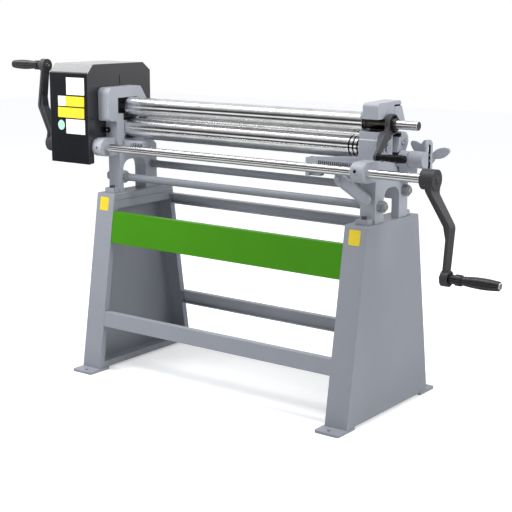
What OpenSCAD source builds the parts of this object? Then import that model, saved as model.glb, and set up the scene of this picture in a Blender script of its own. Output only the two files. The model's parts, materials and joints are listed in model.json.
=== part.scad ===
// Hand-operated plate rolling machine with three rolls on a sheet-metal stand.
// X runs along the rolls, -Y is the feeding side, +Z is up, and the floor is z = 0.

/* [Rolls] */
// Length of the roll faces
roll_len = 1116; // [896:10:1296]
// Clearance between the roll faces and the left housing
end_gap = 4; // [2:0.5:18]
// Radius of each roll
roll_r = 37.5; // [34:0.5:38]
// Radius of the roll journals
journal_r = 20; // [16:0.5:22]
// Radius of the shaft ends beyond the journals
shaft_end_r = 16; // [12:0.5:16]
// Depth position of the pressing rolls' axes
press_y = -52; // [-56:1:-48]
// Height of the lower roll axis above the stand top
lower_roll_up = 260; // [250:1:270]
// Open gap between the upper and the lower roll
roll_gap = 9; // [8:0.5:12]
// Travel of the lower roll towards the upper one
lift_travel = 8; // [4:1:8]
// Width of each wire groove in the lower and rear rolls
groove_w = 6; // [4:0.5:8]
// Depth of each wire groove
groove_deep = 4; // [2:0.5:6]
// Spacing of the wire grooves
groove_pitch = 17.5; // [14:0.5:22]
// Number of wire grooves
groove_count = 3; // [1:1:5]

/* [Stand] */
// Height of the stand above the floor
stand_top = 715; // [650:5:780]
// Half depth of the stand at its top
top_half = 178; // [170:1:190]
// Half depth of the stand above the foot plates
base_half = 287; // [270:1:310]
// Distance from the machine's middle to a stand end's outer face
stand_x = 639; // [636:1:660]
// Width of a stand end's flanges
flange_w = 92; // [88:1:100]
// Thickness of the stand's sheet
sheet = 4; // [3:0.5:6]
// Width of the returned lips
lip_w = 25; // [18:1:32]
// Thickness of a foot plate
foot_t = 10; // [8:1:16]
// Size of a foot plate along X
foot_x = 100; // [90:1:110]
// Size of a foot plate along Y
foot_y = 110; // [100:1:120]
// Radius of the floor bolt holes
foot_hole_r = 7; // [5:0.5:9]
// Half spacing of the floor bolts along X
bolt_half_x = 587; // [575:1:600]
// Half spacing of the floor bolts along Y
bolt_half_y = 322; // [316:1:328]
// Height of the front board's lower edge
board_z = 522; // [480:1:540]
// Height of the front board
board_h = 123; // [90:1:130]
// Height of the lower rails' lower edge
rail_z = 185; // [120:1:260]
// Height of a lower rail
rail_h = 58; // [40:1:70]
// Height of the rear upper rail's lower edge
upper_rail_z = 636; // [560:1:660]
// Height of the rear upper rail
upper_rail_h = 44; // [30:1:60]
// Depth of the bent rails and of the board's bent edges
rail_deep = 25; // [18:1:40]

/* [Housings] */
// Distance from the machine's middle to a housing's outer face
housing_x = 631; // [629:1:634]
// Thickness of a housing
housing_w = 61; // [58:1:64]
// Thickness of the web that carries the rear pivot
web_w = 16; // [12:1:18]
// Depth position of the housings' front edge
housing_front = -118; // [-122:1:-114]
// Radius of the drive shaft hubs
hub_r = 36; // [30:1:40]
// Height of the block windows
window_h = 85; // [82:1:90]
// Width of the block windows
window_w = 70; // [64:1:76]
// Radius of the top roll's journal in its open slot
slot_journal_r = 17.9; // [17:0.1:18.9]
// Depth of the slot's mouth below the journal's seat
slot_drop = 6; // [0:0.5:8]
// Diameter of the tie rods
tie_d = 30; // [24:1:34]
// Diameter of the tie rods' ends in the housings
tie_end_d = 24; // [18:1:26]
// Size of the tie rod nuts across their corners
nut_d = 42; // [38:1:48]
// Thickness of a tie rod nut
nut_t = 22; // [16:1:26]
// Length of a housing's foot tabs
tab_len = 36; // [32:1:40]
// Height of a housing's foot tabs
tab_h = 18; // [12:1:24]

/* [Drive] */
// Depth position of the drive shaft
drive_y = -178; // [-180:1:-176]
// Radius of the drive shaft
drive_r = 16; // [12:0.5:18]
// Gear module of the drive pair
gear_m = 4; // [3.5:0.5:4.5]
// Teeth of the pinion
pinion_teeth = 21; // [20:1:22]
// Teeth of the bull gear
bull_teeth = 80; // [78:1:82]
// Teeth of each roll gear
roll_gear_teeth = 15; // [13:1:15]
// Length of the crank between its axes
crank_r = 315; // [280:5:330]
// Lean of the cranks out of the vertical
crank_lean = 8; // [0:1:15]
// Radius of the crank hubs
crank_hub_r = 35; // [30:1:38]
// Distance from the machine's middle to a crank hub's inner face
crank_x = 849; // [849:1:870]
// Length of a crank hub
crank_hub_w = 50; // [44:1:60]
// Thickness of the crank arms at the hub
arm_t = 27; // [22:1:30]
// Thickness of the crank arms at the grip
arm_tip_t = 14; // [12:1:16]
// Outward bend of the crank arms
arm_bend = 75; // [60:1:80]
// Length of the crank grips with their bolt heads
grip_len = 180; // [150:1:190]
// Radius of the grip bolts
grip_bolt_r = 6; // [5:0.5:7]

/* [Guard] */
// Thickness of the guard's sheet
guard_t = 2; // [1.5:0.5:3]
// Width of the guard along X
guard_w = 213; // [200:1:213]
// Clearance between the gears' tips and the guard's sheet
guard_clear = 5; // [5:1:15]
// Room behind the bull gear inside the guard
guard_room = 27; // [20:1:40]
// Depth of the guard's front lower edge below the drive shaft
guard_drop = 68; // [60:1:90]

/* [Rear roll] */
// Depth position of the rear pivot
pivot_y = 42; // [41:0.5:43]
// Height of the rear pivot above the stand top
pivot_up = 216; // [215:1:217]
// Radius of the rear pivot shaft
pivot_r = 14; // [12:0.5:16]
// Distance from the rear pivot to the rear roll's axis
swing_r = 65; // [63:0.5:67]
// Lean of the swing arms behind the vertical
swing_lean = 24.6; // [22:0.1:26]
// Radius of an arm's boss around the roll
arm_boss_r = 33; // [28:0.5:34]
// Radius of an arm's boss around the pivot
arm_pivot_r = 22; // [20:0.5:24]

/* [Controls] */
// Length of the release lever between its axes
lever_len = 158; // [140:1:158]
// Lean of the release lever below the level
lever_lean = 45; // [40:1:50]
// Length of the release lever's handle
handle_len = 108; // [80:1:120]
// Length of the feed gearbox's neck
box_neck = 36; // [30:1:40]
// Length of the feed gearbox's hub
box_hub_w = 58; // [54:1:62]
// Radius from the feed knob's axis to its leaf tips
knob_r = 88; // [70:1:88]
// Length of the paddle lever
paddle_len = 147; // [120:1:150]
// Width of the paddle lever
paddle_w = 42; // [34:1:46]
// Slope of the paddle lever below the level
paddle_drop = 30; // [26:1:40]
// Length of the right rack plate
right_rack_len = 233; // [220:1:250]
// Length of the left rack plate
left_rack_len = 108; // [90:1:120]
// Pitch of the rack teeth
rack_pitch = 8.5; // [7:0.5:10]

/* [Fits] */
// Radial clearance of a running shaft
run_fit = 0.05; // [0.03:0.01:0.1]
// Radial clearance of a pressed or clamped shaft
press_fit = 0.01; // [0:0.01:0.03]
// Side clearance of the sliding blocks
slide_fit = 0.15; // [0.1:0.05:0.3]

/* [Hidden] */
$fn = 96;

// Axes of the machine
lower_z = stand_top + lower_roll_up;
top_z = lower_z + 2 * roll_r + roll_gap;
pivot_z = stand_top + pivot_up;
rear_y = pivot_y + swing_r * sin(swing_lean);
rear_z = pivot_z + swing_r * cos(swing_lean);
shaft_centres = gear_m * (pinion_teeth + bull_teeth) / 2;
drive_z = top_z - sqrt(pow(shaft_centres, 2) - pow(drive_y - press_y, 2));

// Stand
flange_x = stand_x - flange_w;
stand_low = foot_t;
slope = (base_half - top_half) / (stand_top - stand_low);
slope_k = sqrt(1 + slope * slope);
lip_band = 60;
lip_groove = 4;
bend_r = 8;

// Housings
inner_x = housing_x - housing_w;
roll_left = end_gap - inner_x;
roll_right = roll_left + roll_len;
web_x = inner_x + web_w;
window_low = lower_z - 45;
block_h = 60;
block_low = lower_z - block_h / 2;
jack_r = 7;
jack_len = 45;
plug_r = 25;
plug_out = 4;
slot_r = slot_journal_r + 0.1;
rim_gap = 6;
hub_out = 3;
pad_t = 12;
leg_t = 31;
right_rear = pivot_y + 66;
head_out = 54;
head_recess = [15, 60, 6];
head_recess_up = 57;
left_rear = pivot_y + 64;
tab_x = inner_x + 4;
tab_w = housing_w - 12;
tab_bolt = tab_len / 2;
tie_neck = 28;
tie_collar = 20;

// Drive train
pinion_r = gear_m * pinion_teeth / 2;
bull_r = gear_m * bull_teeth / 2;
gear_add = gear_m * 0.75;
gear_ded = gear_m * 1.1;
gear_gap = 14;
gear_step = 13;
gear_w = 22;
roll_gear_w = 25;
roll_gear_x = -housing_x - gear_gap - roll_gear_w;
gear_x = roll_gear_x - gear_step - gear_w;
roll_gear_r = (2 * roll_r + roll_gap - lift_travel) / 2;
roll_gear_add = 4.8;
roll_gear_ded = 5.8;
// The pinion's tooth points at the bull gear's axis, where the bull gear has a space
mesh_turn = atan2(top_z - drive_z, press_y - drive_y);
crank_end = crank_x + crank_hub_w;
hub_recess = 2;
flange_t = 10;
arm_out_x = crank_end - hub_recess;
arm_far_x = arm_out_x + arm_bend;
boss_t = 26;
boss_r = 27;
boss_x = arm_far_x - arm_tip_t - 3;
boss_end = boss_x + boss_t;
grip_recess = 3;
grip_x = boss_end - grip_recess + 0.3;
grip_end = boss_end + grip_len;
bolt_head_t = 5;

// Guard
guard_x = housing_x + guard_w;
guard_front = drive_y - pinion_r - gear_add - guard_clear - guard_t;
guard_top = top_z + bull_r + gear_add + guard_clear + guard_t;
guard_rear = press_y + bull_r + gear_add + guard_room + guard_t;
guard_low = drive_z - guard_drop;
guard_back_low = guard_low + 47;
guard_corner = 34;
guard_hole_r = drive_r + 6;

// Extension and release lever
ext_end = 757;
lever_x = housing_x + 10;
lever_t = 19;
lever_y = press_y - lever_len * cos(lever_lean);
lever_z = top_z - lever_len * sin(lever_lean);
lever_pin_r = 7;
collar_r = 23;
collar_t = 10;

// Feed gearbox
box_x = housing_x + 7;
box_groove = 4;
box_hub_x = box_x + box_neck + box_groove;
box_end = box_hub_x + box_hub_w;
box_neck_r = 28;
box_hub_r = 30;
box_foot_z = pivot_z - 85;
box_foot_h = 47;
box_foot_y = pivot_y + 10;
box_foot_w = 48;
slot_plate_y = pivot_y + 27;
slot_plate_r = 24;
slot_plate_x = box_end - 9;
slot_half = 8.5;
web_y = pivot_y + 14;
knob_x = box_hub_x + 31;
knob_y = pivot_y + 64;
knob_shaft_r = 8;
knob_hub_r = 22;

// Rack plates and paddle lever
rack_top = lower_z - roll_r - 12.5;
rack_front = press_y - 48;
rack_rear = press_y - 8;
rack_end = inner_x - pad_t;
rack_left = rack_end - right_rack_len;
rack_root = rack_top - 9;
rack_tip = rack_top - 27;
rack_foot = 54;
rack_drop = 39;
paddle_x = inner_x - 70;
paddle_z = rack_top - 57;
paddle_y = rack_front - 50;
paddle_pin_r = 7;

steel = [0.78, 0.79, 0.81];
stand_grey = [0.60, 0.61, 0.65];
cast_grey = [0.68, 0.69, 0.73];
black_sheet = [0.14, 0.15, 0.17];
dark_iron = [0.24, 0.24, 0.26];
board_green = [0.27, 0.57, 0.13];

// ---------- helpers ----------

function last(v) = v[len(v) - 1];
function unit(v) = v / norm(v);
function corner(p, i) = [p[i][0], p[i][1]];
function to_prev(p, i) = unit(corner(p, (i + len(p) - 1) % len(p)) - corner(p, i));
function to_next(p, i) = unit(corner(p, (i + 1) % len(p)) - corner(p, i));
function half_angle(p, i) = acos(to_prev(p, i) * to_next(p, i)) / 2;
function tangent_len(p, i) = p[i][2] / tan(half_angle(p, i));
function is_convex(p, i) = cross(to_prev(p, i), to_next(p, i)) < 0;
function arc_centre(p, i) =
    corner(p, i) + unit(to_prev(p, i) + to_next(p, i)) * p[i][2] / sin(half_angle(p, i));
function tangent_points(p, i) = p[i][2] == 0 ? [corner(p, i)] :
    [corner(p, i) + to_prev(p, i) * tangent_len(p, i),
     corner(p, i) + to_next(p, i) * tangent_len(p, i)];

// Round cap between a corner's chord and its arc
module arc_cap(p, i) {
    ends = tangent_points(p, i);
    intersection() {
        translate(arc_centre(p, i)) circle(r = p[i][2]);
        polygon([ends[0], corner(p, i), ends[1]]);
    }
}

// Outline through counter-clockwise corners [u, v, radius], with true arcs
module rounded_outline(p) {
    difference() {
        union() {
            polygon([for (i = [0 : len(p) - 1]) each tangent_points(p, i)]);
            for (i = [0 : len(p) - 1]) {
                if (p[i][2] > 0 && is_convex(p, i)) {
                    arc_cap(p, i);
                }
            }
        }
        for (i = [0 : len(p) - 1]) {
            if (p[i][2] > 0 && !is_convex(p, i)) {
                arc_cap(p, i);
            }
        }
    }
}

// Two bosses joined by their outer tangents
module link_outline(c1, r1, c2, r2) {
    along = atan2(c2[1] - c1[1], c2[0] - c1[0]);
    spread = acos((r1 - r2) / norm(c2 - c1));
    translate(c1) circle(r = r1);
    translate(c2) circle(r = r2);
    polygon([c1 + r1 * [cos(along - spread), sin(along - spread)],
        c2 + r2 * [cos(along - spread), sin(along - spread)],
        c2 + r2 * [cos(along + spread), sin(along + spread)],
        c1 + r1 * [cos(along + spread), sin(along + spread)]]);
}

// Extrudes a (Y, Z) outline from x1 to x2
module plate_x(x1, x2) {
    translate([x1, 0, 0]) rotate([90, 0, 90]) linear_extrude(height = x2 - x1) children();
}

// Extrudes an (X, Z) outline from y1 to y2
module plate_y_dir(y1, y2) {
    translate([0, y2, 0]) rotate([90, 0, 0]) linear_extrude(height = y2 - y1) children();
}

// Round bar along X at (y, z)
module bar_x(x1, x2, r, y = 0, z = 0) {
    translate([x1, y, z]) rotate([0, 90, 0]) cylinder(h = x2 - x1, r = r);
}

// Round bar along Y at (x, z)
module bar_y(y1, y2, r, x = 0, z = 0) {
    translate([x, y2, z]) rotate([90, 0, 0]) cylinder(h = y2 - y1, r = r);
}

// Turned piece along X from steps [x, radius]
module turned(steps) {
    rotate([0, 90, 0]) rotate_extrude()
        polygon(concat([[0, steps[0][0]]], [for (s = steps) [s[1], s[0]]], [[0, last(steps)[0]]]));
}

// Steps of a groove of width w around x on radius r, cut d deep
function groove_steps(x, r, w, d) = [[x - w / 2, r], [x - w / 4, r - d], [x + w / 4, r - d], [x + w / 2, r]];

module hex_bolt(h, head_r, shank_r, shank_h) {
    cylinder(h = h, r = head_r, $fn = 6);
    translate([0, 0, -shank_h]) cylinder(h = shank_h, r = shank_r);
}

// Gear outline with straight-flanked teeth that fill the given share of the pitch
module gear_outline(n, pitch_r, add, ded, fill, turn) {
    step = 360 / n;
    root_r = pitch_r - ded;
    tip_r = pitch_r + add;
    half = step * fill / 2;
    root_half = half + atan((ded * 0.36) / root_r);
    tip_half = half - atan((add * 0.36) / tip_r);
    polygon([for (i = [0 : n - 1]) each [
        root_r * [cos(turn + i * step - root_half), sin(turn + i * step - root_half)],
        tip_r * [cos(turn + i * step - tip_half), sin(turn + i * step - tip_half)],
        tip_r * [cos(turn + i * step + tip_half), sin(turn + i * step + tip_half)],
        root_r * [cos(turn + i * step + root_half), sin(turn + i * step + root_half)]]]);
}

// ---------- stand ----------

function half_at(z) = top_half + (stand_top - z) * slope;
function side_y(z, inset) = -(half_at(z) - inset * slope_k);

module stand_trapezoid(inset, top_inset, r) {
    low = stand_low + inset;
    high = stand_top - top_inset;
    rounded_outline([[side_y(low, inset), low, 0], [-side_y(low, inset), low, 0],
        [-side_y(high, inset), high, r], [side_y(high, inset), high, r]]);
}

module stand_end() {
    color(stand_grey) difference() {
        plate_x(flange_x, stand_x) stand_trapezoid(0, 0, bend_r);
        plate_x(flange_x + sheet, stand_x - sheet) stand_trapezoid(sheet, sheet, bend_r - sheet);
        plate_x(flange_x - 1, flange_x + sheet + 1) stand_trapezoid(lip_w, lip_band, 0);
        translate([flange_x - 1, -top_half, stand_top - lip_w - lip_groove])
            cube([sheet / 2 + 1, 2 * top_half, lip_groove]);
    }
}

module foot_plate() {
    corner_r = 8;
    low_y = -base_half - foot_y / 2 - 4;
    x0 = stand_x + 2 - foot_x;
    color(stand_grey) difference() {
        linear_extrude(height = foot_t) rounded_outline([
            [x0, low_y, corner_r], [x0 + foot_x, low_y, corner_r],
            [x0 + foot_x, low_y + foot_y, 0], [x0, low_y + foot_y, 0]]);
        translate([bolt_half_x, -bolt_half_y, -1]) cylinder(h = foot_t + 2, r = foot_hole_r);
    }
}

module right_stand() { stand_end(); }
module left_stand() { mirror([1, 0, 0]) stand_end(); }
module right_foot_plates() {
    foot_plate();
    mirror([0, 1, 0]) foot_plate();
}
module left_foot_plates() { mirror([1, 0, 0]) right_foot_plates(); }

// Bent channel between the stand ends, lying in the flanges' sloping plane
module channel(low, height, set) {
    high = low + height;
    plate_x(-flange_x, flange_x) polygon([
        [side_y(low, set), low],
        [side_y(low, set + rail_deep), low],
        [side_y(low + sheet, set + rail_deep), low + sheet],
        [side_y(low + sheet, set + sheet), low + sheet],
        [side_y(high - sheet, set + sheet), high - sheet],
        [side_y(high - sheet, set + rail_deep), high - sheet],
        [side_y(high, set + rail_deep), high],
        [side_y(high, set), high]]);
}

module front_board() { color(board_green) channel(board_z, board_h, 1); }
module front_lower_rail() { color(stand_grey) channel(rail_z, rail_h, 1); }
module rear_lower_rail() { color(stand_grey) mirror([0, 1, 0]) channel(rail_z, rail_h, 1); }
module rear_upper_rail() { color(stand_grey) mirror([0, 1, 0]) channel(upper_rail_z, upper_rail_h, 1); }

// ---------- housings ----------

front_rod = [press_y - 37, stand_top + 60];
rear_rod = [pivot_y + 36, stand_top + 98];
pivot = [pivot_y, pivot_z];
rear_axis = [rear_y, rear_z];
top_axis = [press_y, top_z];
lower_axis = [press_y, lower_z];
drive_axis = [drive_y, drive_z];
notch_low = pivot_z - arm_pivot_r - rim_gap;
notch_high = pivot_z + swing_r + arm_boss_r + rim_gap + 5;
notch_front = pivot_y - 52;
swing_end = 30;

// Space swept by the rear roll's journal: a ring sector open to the rear
module journal_sweep() {
    reach = journal_r + rim_gap;
    spread = asin(reach / swing_r);
    rear_turn = swing_lean + spread + 5;
    front_turn = swing_end - swing_lean + spread;
    far = 300;
    translate(pivot) intersection() {
        difference() {
            circle(r = swing_r + reach);
            circle(r = swing_r - reach);
        }
        polygon([[0, 0], far * [sin(rear_turn), cos(rear_turn)], far * [1, 1],
            far * [-sin(front_turn), cos(front_turn)]]);
    }
}

module leg_arch(front, rear, high) {
    rounded_outline([[front, stand_top - 1, 0], [rear, stand_top - 1, 0],
        [rear, high, 40], [front, high, 40]]);
}

// Cuts that both housings share
module housing_cuts() {
    plate_x(inner_x - 20, housing_x + 1) {
        translate([press_y - window_w / 2, window_low]) square([window_w, window_h]);
    }
    plate_x(inner_x - 20, housing_x + 1) journal_sweep();
    bar_x(inner_x - 20, housing_x + 10, pivot_r + run_fit, pivot_y, pivot_z);
    bar_x(inner_x - 20, housing_x + 10, tie_end_d / 2 + press_fit, front_rod[0], front_rod[1]);
    bar_x(inner_x - 20, housing_x + 10, tie_end_d / 2 + press_fit, rear_rod[0], rear_rod[1]);
    bar_x(inner_x - 20, housing_x + 10, drive_r + run_fit, drive_y, drive_z);
    translate([(inner_x + housing_x) / 2, press_y, block_low - jack_len - 5])
        cylinder(h = jack_len, r = jack_r + run_fit);
    translate([inner_x + 36, drive_y - hub_r - 1, drive_z])
        rotate([-90, 0, 0]) cylinder(h = 12, r = 5);
}

// Room for the swing arm beside the web
module arm_notch() {
    plate_x(web_x, housing_x + 1) polygon([
        [pivot_y - arm_pivot_r - rim_gap - 1, notch_low],
        [pivot_y + 160, notch_low], [pivot_y + 160, notch_high],
        [notch_front, notch_high], [notch_front, pivot_z + 7],
        [pivot_y - arm_pivot_r - rim_gap - 1, pivot_z + 7]]);
}

module drive_lug(x1, x2) {
    plate_x(x1, x2) {
        translate(drive_axis) circle(r = hub_r);
        translate([drive_y, drive_z - hub_r]) square([housing_front + 4 - drive_y, 2 * hub_r]);
    }
}

// Foot tabs in front of and behind a housing
module foot_tabs(rear) {
    translate([tab_x, housing_front + 2 - tab_len, stand_top]) cube([tab_w, tab_len, tab_h]);
    translate([tab_x, rear - 2, stand_top]) cube([tab_w, tab_len, tab_h]);
}

module tab_holes(rear) {
    for (y = [housing_front - tab_bolt, rear + tab_bolt]) {
        translate([tab_x + tab_w / 2, y, stand_top - 1]) cylinder(h = tab_h + 2, r = 6.5);
    }
}

module right_housing() {
    front = housing_front;
    head = housing_front + 4;
    pad_rear = press_y + 44;
    color(cast_grey) difference() {
        union() {
            plate_x(inner_x, housing_x) rounded_outline([
                [front, stand_top, 0], [right_rear, stand_top, 0], [right_rear, notch_low - 30, 14],
                [pivot_y + 38, notch_low - 6, 16], [pivot_y + 38, notch_high - 12, 6],
                [pivot_y + 31, top_z + 4, 6], [pivot_y - 3, top_z + 77, 10], [head, top_z + 73, 13],
                [head, lower_z + 34, 0], [front, lower_z + 30, 0]]);
            plate_x(inner_x - pad_t, inner_x) rounded_outline([
                [front, window_low - 75, 10], [pad_rear, window_low - 75, 10],
                [pad_rear, top_z + 42, 24], [head + 3, top_z + 44, 18],
                [head + 3, top_z, 0], [head, top_z, 0], [head, lower_z + 34, 0],
                [front, lower_z + 30, 0]]);
            drive_lug(inner_x + 13, housing_x + hub_out);
            foot_tabs(right_rear);
        }
        housing_cuts();
        arm_notch();
        plate_x(inner_x - 20, housing_x + 1) leg_arch(front + 58, pivot_y + 6, stand_top + 118);
        plate_x(inner_x - 1, housing_x - leg_t) rounded_outline([
            [pivot_y - 4, stand_top - 1, 0], [right_rear, stand_top - 1, 0],
            [right_rear, rear_rod[1] - 28, 0], [pivot_y - 4, rear_rod[1] - 28, 20]]);
        plate_x(inner_x - 20, housing_x + 1) {
            translate(top_axis) circle(r = slot_r);
            translate([head - 20, top_z - slot_r]) square([press_y - head + 20, 2 * slot_r]);
            translate([head - 20, top_z - slot_r - slot_drop])
                square([press_y - head + 20 - 0.8 * slot_r, slot_r + slot_drop]);
        }
        translate([housing_x + 1 - head_recess[0], pivot_y - 45, top_z + head_recess_up])
            cube(head_recess);
        tab_holes(right_rear);
    }
}

module left_housing() {
    neck = housing_front - 12;
    head = housing_front - head_out;
    color(cast_grey) mirror([1, 0, 0]) difference() {
        union() {
            difference() {
                plate_x(inner_x, housing_x) rounded_outline([
                    [housing_front, stand_top, 0], [left_rear, stand_top, 0],
                    [left_rear, notch_low - 10, 14], [pivot_y + 38, notch_low + 14, 16],
                    [pivot_y + 38, notch_high - 12, 6], [pivot_y + 8, top_z + 26, 6],
                    [pivot_y - 30, top_z + 81, 16], [head, top_z + 78, 24], [head, lower_z + 29, 14],
                    [neck, lower_z + 29, 8], [neck, window_low - 12, 6],
                    [housing_front, window_low - 30, 6]]);
                plate_x(inner_x - 1, housing_x + 1)
                    leg_arch(housing_front + 20, pivot_y - 4, stand_top + 130);
            }
            drive_lug(inner_x + 13, housing_x);
            foot_tabs(left_rear);
            bar_x(inner_x, housing_x, tie_end_d / 2 + 14, front_rod[0], front_rod[1]);
        }
        housing_cuts();
        arm_notch();
        translate([inner_x - 1, press_y - 70, top_z - 28]) cube([31, 112, 65]);
        bar_x(inner_x - 1, housing_x + 1, journal_r + run_fit, press_y, top_z);
        tab_holes(left_rear);
    }
}

module foot_bolt(y) {
    translate([tab_x + tab_w / 2, y, stand_top + tab_h]) hex_bolt(9, 11, 6.4, tab_h);
}

module housing_foot_bolts() {
    color(dark_iron) {
        foot_bolt(housing_front - tab_bolt);
        foot_bolt(right_rear + tab_bolt);
        mirror([1, 0, 0]) foot_bolt(housing_front - tab_bolt);
        mirror([1, 0, 0]) foot_bolt(left_rear + tab_bolt);
    }
}

// Bar with turned-down ends that pass through the housings and their nuts
module tie_rod(axis) {
    end = housing_x + nut_t + 8;
    neck = inner_x - tie_neck;
    end_r = tie_end_d / 2;
    translate([0, axis[0], axis[1]]) turned([[-end, end_r - 2], [-end + 2, end_r],
        [-neck, end_r], [-neck, tie_d / 2], [neck, tie_d / 2], [neck, end_r],
        [end - 2, end_r], [end, end_r - 2]]);
}

module front_tie_rod() { color(cast_grey) tie_rod(front_rod); }
module rear_tie_rod() { color(cast_grey) tie_rod(rear_rod); }

module rod_nuts(axis) {
    translate([housing_x, axis[0], axis[1]]) rotate([0, 90, 0]) difference() {
        cylinder(h = nut_t, r = nut_d / 2, $fn = 6);
        translate([0, 0, -1]) cylinder(h = nut_t + 2, r = tie_end_d / 2 + press_fit);
    }
    difference() {
        bar_x(inner_x - tie_neck, inner_x - tie_neck + tie_collar, tie_d / 2 + 1, axis[0], axis[1]);
        bar_x(inner_x - tie_neck - 1, inner_x, tie_end_d / 2 + press_fit, axis[0], axis[1]);
    }
}

module tie_rod_nuts() {
    color(dark_iron) for (axis = [front_rod, rear_rod]) {
        rod_nuts(axis);
        mirror([1, 0, 0]) rod_nuts(axis);
    }
}

// ---------- guard ----------

// Guard outline from the front lower edge over the top to the rear lower edge
function guard_path(inset) = [
    [guard_front + inset, guard_low],
    [guard_front + inset, guard_top - guard_corner - 3],
    [guard_front + guard_corner - 1 + inset * 0.4, guard_top - inset],
    [guard_rear - guard_corner - 10 - inset * 0.4, guard_top - inset],
    [guard_rear - inset, guard_top - guard_corner + 1],
    [guard_rear - inset, guard_back_low]];
function reversed(v) = [for (i = [len(v) - 1 : -1 : 0]) v[i]];

module guard_wrap() {
    color(black_sheet) plate_x(-guard_x + guard_t, -housing_x - guard_t)
        polygon(concat(guard_path(0), reversed(guard_path(guard_t))));
}

module guard_outer_panel() {
    color(black_sheet) difference() {
        plate_x(-guard_x, -guard_x + guard_t) polygon(guard_path(0));
        bar_x(-guard_x - 1, -guard_x + guard_t + 1, guard_hole_r, drive_y, drive_z);
    }
}

module guard_inner_panel() {
    strip = 28;
    hole_r = journal_r + 4;
    color(black_sheet) difference() {
        plate_x(-housing_x - guard_t, -housing_x) difference() {
            polygon(guard_path(0));
            translate([guard_front + strip, guard_low - 60])
                square([guard_rear - guard_front, guard_back_low - guard_low + 60]);
        }
        plate_x(-housing_x - guard_t - 1, -housing_x + 1) {
            translate(drive_axis) circle(r = guard_hole_r);
            translate(top_axis) circle(r = hole_r);
            translate(lower_axis) circle(r = hole_r);
            translate(lower_axis + [0, lift_travel]) circle(r = hole_r);
            translate(lower_axis - [hole_r, 0]) square([2 * hole_r, lift_travel]);
            translate(pivot) circle(r = pivot_r + 6);
        }
    }
}

// ---------- drive ----------

module drive_shaft() {
    end = crank_end - hub_recess;
    color(steel) translate([0, drive_y, drive_z]) turned([[-end, drive_r - 1.5],
        [-end + 1.5, drive_r], [end - 1.5, drive_r], [end, drive_r - 1.5]]);
}

module drive_pinion() {
    color(steel) plate_x(gear_x, gear_x + gear_w) translate(drive_axis) difference() {
        gear_outline(pinion_teeth, pinion_r, gear_add, gear_ded, 0.42, mesh_turn);
        circle(r = drive_r + press_fit);
    }
}

// Bull gear with a rim, a hub and six round lightening holes halfway between them
module bull_gear() {
    rim_r = bull_r - gear_ded - 12;
    web_mid = (rim_r + shaft_end_r + 14) / 2;
    hole_r = web_mid * sin(30) - 14;
    color(dark_iron) plate_x(gear_x, gear_x + gear_w) translate(top_axis) difference() {
        gear_outline(bull_teeth, bull_r, gear_add, gear_ded, 0.42, mesh_turn + 180 + 180 / bull_teeth);
        circle(r = shaft_end_r + press_fit);
        for (a = [0 : 60 : 300]) rotate(a + 30) translate([web_mid, 0]) circle(r = hole_r);
    }
}

module roll_gear(axis, turn) {
    plate_x(roll_gear_x, roll_gear_x + roll_gear_w) translate(axis) difference() {
        gear_outline(roll_gear_teeth, roll_gear_r, roll_gear_add, roll_gear_ded, 0.36, turn);
        circle(r = shaft_end_r + press_fit);
    }
}

module top_roll_gear() { color(dark_iron) roll_gear(top_axis, -90); }
module lower_roll_gear() { color(dark_iron) roll_gear(lower_axis, 90 + 180 / roll_gear_teeth); }

// Roll with its journals, the release lever's seat, a collar and the extension
module top_roll() {
    slot_end = inner_x - pad_t - 3;
    collar_x = lever_x + lever_t + 1;
    color(steel) difference() {
        translate([0, press_y, top_z]) turned([
            [gear_x - 6, shaft_end_r - 1], [gear_x - 5, shaft_end_r],
            [-housing_x - 2, shaft_end_r], [-housing_x - 2, journal_r],
            [roll_left, journal_r], [roll_left, roll_r - 1], [roll_left + 1, roll_r],
            [roll_right - 1, roll_r], [roll_right, roll_r - 1], [roll_right, journal_r],
            [slot_end, journal_r], [slot_end, slot_journal_r],
            [housing_x + 2, slot_journal_r], [housing_x + 2, shaft_end_r],
            [collar_x, shaft_end_r], [collar_x, collar_r], [collar_x + collar_t, collar_r],
            [collar_x + collar_t, shaft_end_r],
            [ext_end - 2, shaft_end_r], [ext_end, shaft_end_r - 2]]);
        bar_x(ext_end - 12, ext_end + 1, 3, press_y, top_z);
    }
}

// ---------- lower roll and its blocks ----------

module lower_block_body(bore_end) {
    x_mid = (inner_x + housing_x) / 2;
    difference() {
        union() {
            translate([inner_x, press_y - window_w / 2 + slide_fit, block_low])
                cube([housing_w, window_w - 2 * slide_fit, block_h]);
            translate([x_mid, press_y, block_low - jack_len])
                cylinder(h = jack_len + 1, r = jack_r);
        }
        bar_x(inner_x - 1, bore_end, journal_r + run_fit, press_y, lower_z);
    }
}

module right_lower_block() {
    plug_end = housing_x + plug_out;
    color(cast_grey) difference() {
        union() {
            lower_block_body(housing_x - 6);
            bar_x(housing_x - 1, plug_end, plug_r, press_y, lower_z);
        }
        plate_x(plug_end - 1.5, plug_end + 1) translate(lower_axis) difference() {
            circle(r = plug_r - 7);
            circle(r = plug_r - 10);
        }
    }
}

module left_lower_block() {
    color(cast_grey) mirror([1, 0, 0]) lower_block_body(housing_x + 1);
}

function wire_grooves(r) = [for (i = [groove_count - 1 : -1 : 0])
    each groove_steps(roll_right - 15.5 - i * groove_pitch, r, groove_w, groove_deep)];

module lower_roll() {
    color(steel) translate([0, press_y, lower_z]) turned(concat([
        [roll_gear_x - 4, shaft_end_r], [-housing_x - 2, shaft_end_r],
        [-housing_x - 2, journal_r], [roll_left, journal_r],
        [roll_left, roll_r - 1], [roll_left + 1, roll_r]], wire_grooves(roll_r), [
        [roll_right - 1, roll_r], [roll_right, roll_r - 1], [roll_right, journal_r],
        [housing_x - 8, journal_r]]));
}

// ---------- rear roll and its swing ----------

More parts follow.
